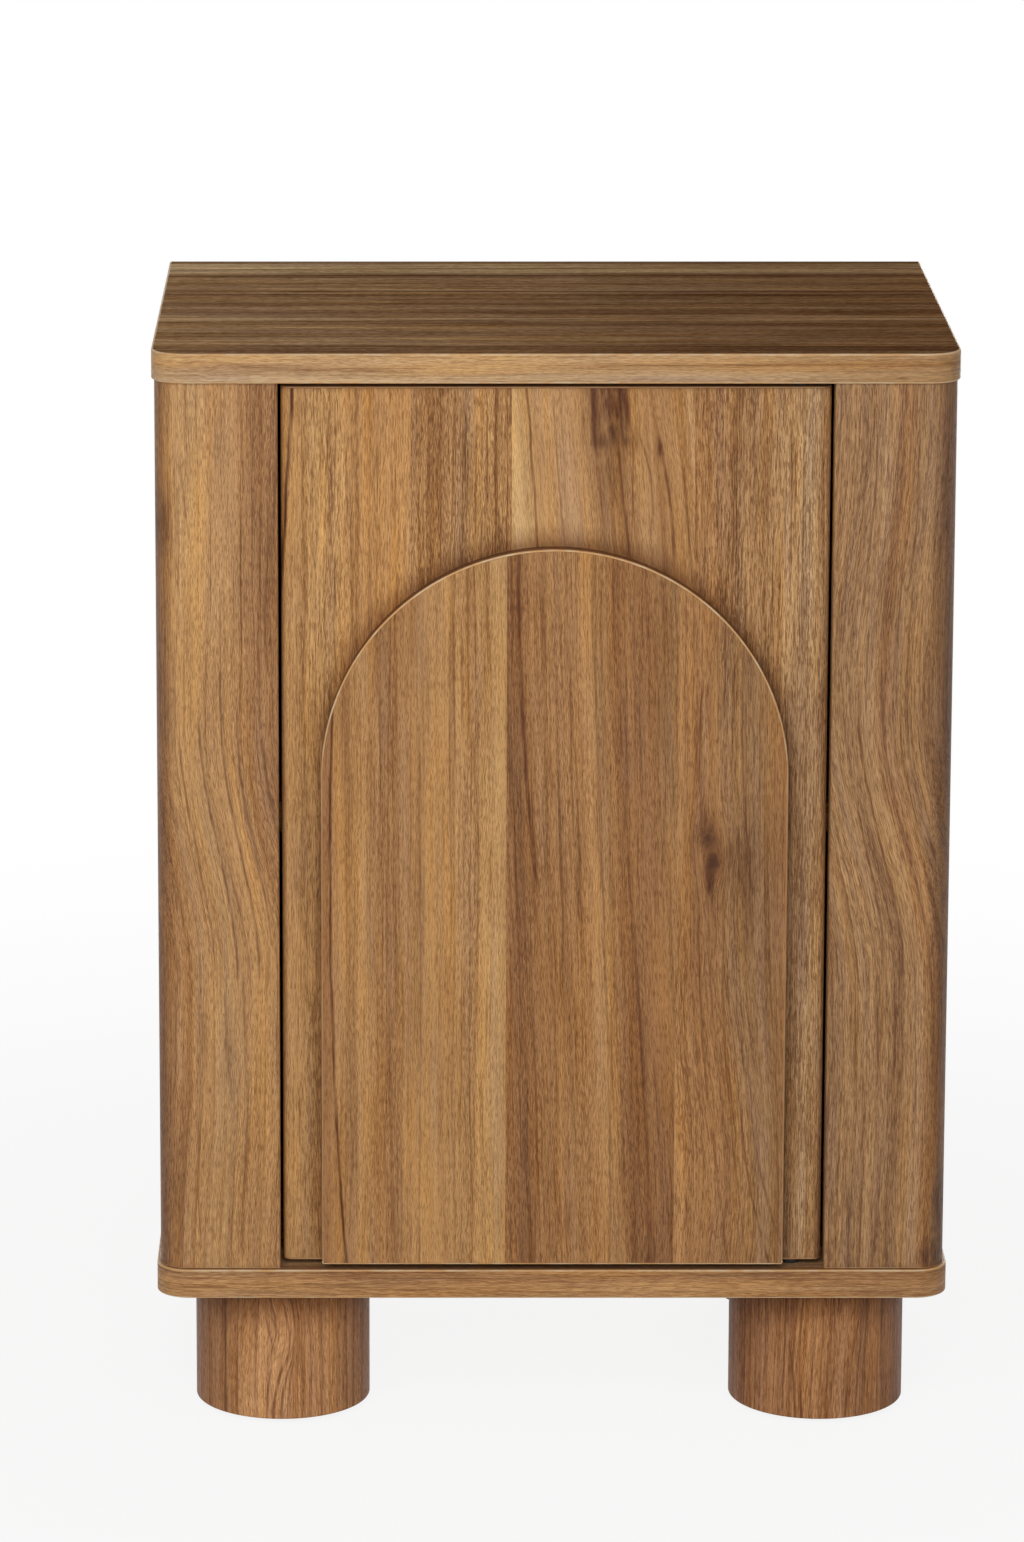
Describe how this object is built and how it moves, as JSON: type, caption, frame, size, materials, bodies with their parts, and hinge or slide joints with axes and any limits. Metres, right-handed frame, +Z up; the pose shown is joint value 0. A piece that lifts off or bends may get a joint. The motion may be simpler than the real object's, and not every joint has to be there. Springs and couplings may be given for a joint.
{
  "type": "bedside pot cupboard",
  "caption": "Bedside cupboard with rounded front corners, an inset door with a raised arched panel that turns on pivot pins, a shelf inside, and drum-shaped feet.",
  "frame": {"origin": "centre of the footprint of the base board, on the floor", "axes": "+Z up, +X to the right seen from the front, +Y from the door to the back"},
  "size_m": [0.43, 0.3, 0.6],
  "materials": {
    "top_laminate": "satin walnut-look laminate, grain along X",
    "base_laminate": "satin walnut-look laminate, grain along X",
    "edge_band": "satin edge band, fine grain along its length",
    "side_laminate": "satin walnut-look laminate, upright grain",
    "stile_laminate": "satin walnut-look laminate, upright grain",
    "door_laminate": "satin acacia-look laminate, upright grain",
    "arch_laminate": "satin walnut-look laminate, upright grain",
    "foot_laminate": "satin walnut-look laminate, upright grain",
    "inside_laminate": "satin walnut-look laminate, grain along X",
    "hardboard": "matt printed hardboard",
    "beech": "raw fluted beech",
    "steel": "bright zinc-plated steel",
    "zinc": "die-cast zinc",
    "black_nylon": "matt black nylon",
    "grey_nylon": "matt grey nylon"
  },
  "bodies": {
    "carcass": {"top_board": "top_laminate", "top_edge_band": "edge_band", "base_board": "base_laminate", "base_edge_band": "edge_band", "left_side_panel": "side_laminate", "right_side_panel": "side_laminate", "left_front_stile": "stile_laminate", "right_front_stile": "stile_laminate", "back_panel": "hardboard", "shelf": "inside_laminate", "shelf_edge_band": "edge_band", "shelf_pins": "steel", "wood_dowels": "beech", "cam_locks": "zinc", "cam_bolts": "steel", "base_screws": "steel", "front_left_foot": "foot_laminate", "front_right_foot": "foot_laminate", "rear_left_foot": "foot_laminate", "rear_right_foot": "foot_laminate", "foot_bolts": "steel", "foot_inserts": "zinc", "foot_glides": "grey_nylon", "lower_hinge_bush": "black_nylon", "upper_hinge_bush": "black_nylon", "latch_housing": "grey_nylon", "latch_screws": "steel"},
    "door": {"door_board": "door_laminate", "door_edge_bands": "edge_band", "arch_panel": "arch_laminate", "arch_edge_band": "edge_band", "arch_screws": "steel", "lower_hinge_pin": "steel", "upper_hinge_pin": "steel", "strike_plate": "steel", "strike_screw": "steel"},
    "plunger": {"latch_plunger": "black_nylon", "latch_magnet": "steel"}
  },
  "joints": [
    {"name": "door_hinge", "type": "hinge", "parent": "carcass", "child": "door", "pos_m": [0.13, -0.133, 0.3395], "axis": [0, 0, 1], "range_deg": [0, 90]},
    {"name": "latch_press", "type": "slide", "parent": "carcass", "child": "plunger", "axis": [0, 1, 0], "range_m": [0, 0.003], "stiffness_N_per_m": 300}
  ]
}
